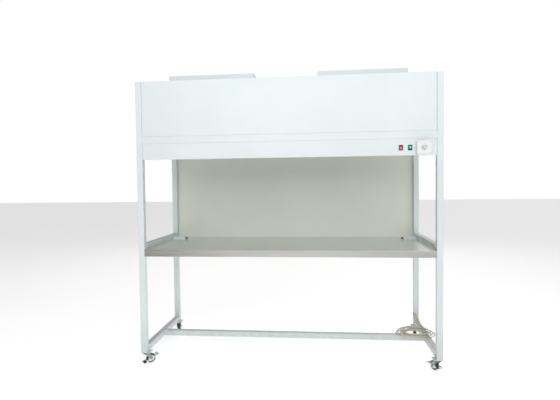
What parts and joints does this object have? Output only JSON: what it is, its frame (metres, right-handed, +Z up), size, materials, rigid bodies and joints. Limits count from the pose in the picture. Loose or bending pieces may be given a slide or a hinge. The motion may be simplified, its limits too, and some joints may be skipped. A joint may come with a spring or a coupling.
{
  "type": "vertical laminar flow cabinet",
  "caption": "Floor-standing clean bench: square-tube frame on swivel casters, stainless worktop, open front, and a header box with blowers, filters and controls.",
  "frame": {"origin": "on the floor, at the middle of the width and of the depth over knob and rear wheels, without the free mains lead", "axes": "+X along the worktop to the right, +Y to the rear, +Z up"},
  "size_m": [2.0559, 0.8057, 1.967],
  "materials": {
    "white_paint": "powder coat, semi-gloss",
    "frame_steel": "powder coat, satin",
    "stainless": "brushed stainless steel",
    "galvanised": "galvanised sheet",
    "motor_paint": "dark enamel",
    "filter_frame_alu": "extruded aluminium",
    "filter_paper": "pleated glass-fibre paper",
    "prefilter_pad": "white filter wool",
    "lamp_glass": "frosted tube",
    "black_plastic": "moulded, matt",
    "red_lens": "translucent, glossy",
    "green_lens": "translucent, glossy",
    "white_plastic": "moulded, satin",
    "zinc": "bright zinc plate",
    "wheel_rubber": "black tread",
    "cord_sheath": "grey-beige sheath",
    "plug_plastic": "moulded, pale"
  },
  "bodies": {
    "frame": {"post_front_left": "white_paint", "post_front_right": "white_paint", "post_rear_left": "white_paint", "post_rear_right": "white_paint", "lower_rail_left": "white_paint", "lower_rail_right": "white_paint", "foot_stretcher": "white_paint", "worktop_rail_left": "white_paint", "worktop_rail_right": "white_paint", "back_panel": "white_paint", "header_side_left": "white_paint", "header_side_right": "white_paint", "header_top": "white_paint", "header_back": "white_paint", "front_cover": "white_paint", "header_rail": "white_paint", "control_band": "white_paint", "diffuser_grille": "white_paint", "intake_hood_left": "white_paint", "intake_hood_right": "white_paint", "rear_brackets": "white_paint", "lamp_batten": "white_paint", "worktop_subframe": "frame_steel", "worktop": "stainless", "blower_deck": "galvanised", "blower_scroll_left": "galvanised", "blower_scroll_right": "galvanised", "blower_motor_left": "motor_paint", "blower_motor_right": "motor_paint", "filter_frame_left": "filter_frame_alu", "filter_frame_right": "filter_frame_alu", "filter_pack_left": "filter_paper", "filter_pack_right": "filter_paper", "prefilter_left": "prefilter_pad", "prefilter_right": "prefilter_pad", "lamp_tube": "lamp_glass", "red_rocker_bezel": "black_plastic", "green_rocker_bezel": "black_plastic", "bracket_knobs": "black_plastic", "control_box": "white_plastic", "control_plate": "white_plastic", "lead_gland": "cord_sheath", "mains_lead": "cord_sheath", "lead_coil": "cord_sheath", "mains_plug": "plug_plastic"},
    "swivel_front_left": {"caster_fork_front_left": "zinc"},
    "wheel_front_left": {"caster_wheel_front_left": "wheel_rubber"},
    "lever_left": {"brake_lever_left": "zinc"},
    "swivel_front_right": {"caster_fork_front_right": "zinc"},
    "wheel_front_right": {"caster_wheel_front_right": "wheel_rubber"},
    "lever_right": {"brake_lever_right": "zinc"},
    "swivel_rear_left": {"caster_fork_rear_left": "zinc"},
    "wheel_rear_left": {"caster_wheel_rear_left": "wheel_rubber"},
    "swivel_rear_right": {"caster_fork_rear_right": "zinc"},
    "wheel_rear_right": {"caster_wheel_rear_right": "wheel_rubber"},
    "red_switch": {"red_rocker": "red_lens"},
    "green_switch": {"green_rocker": "green_lens"},
    "knob": {"speed_knob": "black_plastic"},
    "impeller_left": {"blower_impeller_left": "galvanised"},
    "impeller_right": {"blower_impeller_right": "galvanised"}
  },
  "joints": [
    {"name": "swivel_front_left_turn", "type": "hinge", "parent": "frame", "child": "swivel_front_left", "pos_m": [-0.97, -0.3205, 0.078], "axis": [0, 0, 1], "continuous": true},
    {"name": "wheel_front_left_roll", "type": "hinge", "parent": "swivel_front_left", "child": "wheel_front_left", "pos_m": [-0.95068, -0.3031, 0.031], "axis": [-0.6691, 0.7431, 0], "continuous": true},
    {"name": "lever_left_rock", "type": "hinge", "parent": "swivel_front_left", "child": "lever_left", "pos_m": [-0.95068, -0.3031, 0.031], "axis": [-0.6691, 0.7431, 0], "range_deg": [0, 20]},
    {"name": "swivel_front_right_turn", "type": "hinge", "parent": "frame", "child": "swivel_front_right", "pos_m": [0.97, -0.3205, 0.078], "axis": [0, 0, 1], "continuous": true},
    {"name": "wheel_front_right_roll", "type": "hinge", "parent": "swivel_front_right", "child": "wheel_front_right", "pos_m": [0.95901, -0.29694, 0.031], "axis": [-0.9063, -0.4226, 0], "continuous": true},
    {"name": "lever_right_rock", "type": "hinge", "parent": "swivel_front_right", "child": "lever_right", "pos_m": [0.95901, -0.29694, 0.031], "axis": [-0.9063, -0.4226, 0], "range_deg": [-20, 0]},
    {"name": "swivel_rear_left_turn", "type": "hinge", "parent": "frame", "child": "swivel_rear_left", "pos_m": [-0.97, 0.3455, 0.078], "axis": [0, 0, 1], "continuous": true},
    {"name": "wheel_rear_left_roll", "type": "hinge", "parent": "swivel_rear_left", "child": "wheel_rear_left", "pos_m": [-0.97452, 0.37111, 0.031], "axis": [-0.9848, -0.1736, 0], "continuous": true},
    {"name": "swivel_rear_right_turn", "type": "hinge", "parent": "frame", "child": "swivel_rear_right", "pos_m": [0.97, 0.3455, 0.078], "axis": [0, 0, 1], "continuous": true},
    {"name": "wheel_rear_right_roll", "type": "hinge", "parent": "swivel_rear_right", "child": "wheel_rear_right", "pos_m": [0.97452, 0.37111, 0.031], "axis": [-0.9848, 0.1736, 0], "continuous": true},
    {"name": "red_switch_rock", "type": "hinge", "parent": "frame", "child": "red_switch", "pos_m": [0.737, -0.3455, 1.441], "axis": [1, 0, 0], "range_deg": [-16, 0]},
    {"name": "green_switch_rock", "type": "hinge", "parent": "frame", "child": "green_switch", "pos_m": [0.794, -0.3455, 1.441], "axis": [1, 0, 0], "range_deg": [0, 16]},
    {"name": "knob_turn", "type": "hinge", "parent": "frame", "child": "knob", "pos_m": [0.8735, -0.3845, 1.437], "axis": [0, -1, 0], "range_deg": [-135, 135]},
    {"name": "impeller_left_spin", "type": "hinge", "parent": "frame", "child": "impeller_left", "pos_m": [-0.5065, -0.0005, 1.774], "axis": [1, 0, 0], "continuous": true},
    {"name": "impeller_right_spin", "type": "hinge", "parent": "frame", "child": "impeller_right", "pos_m": [0.5065, -0.0005, 1.774], "axis": [1, 0, 0], "continuous": true}
  ]
}
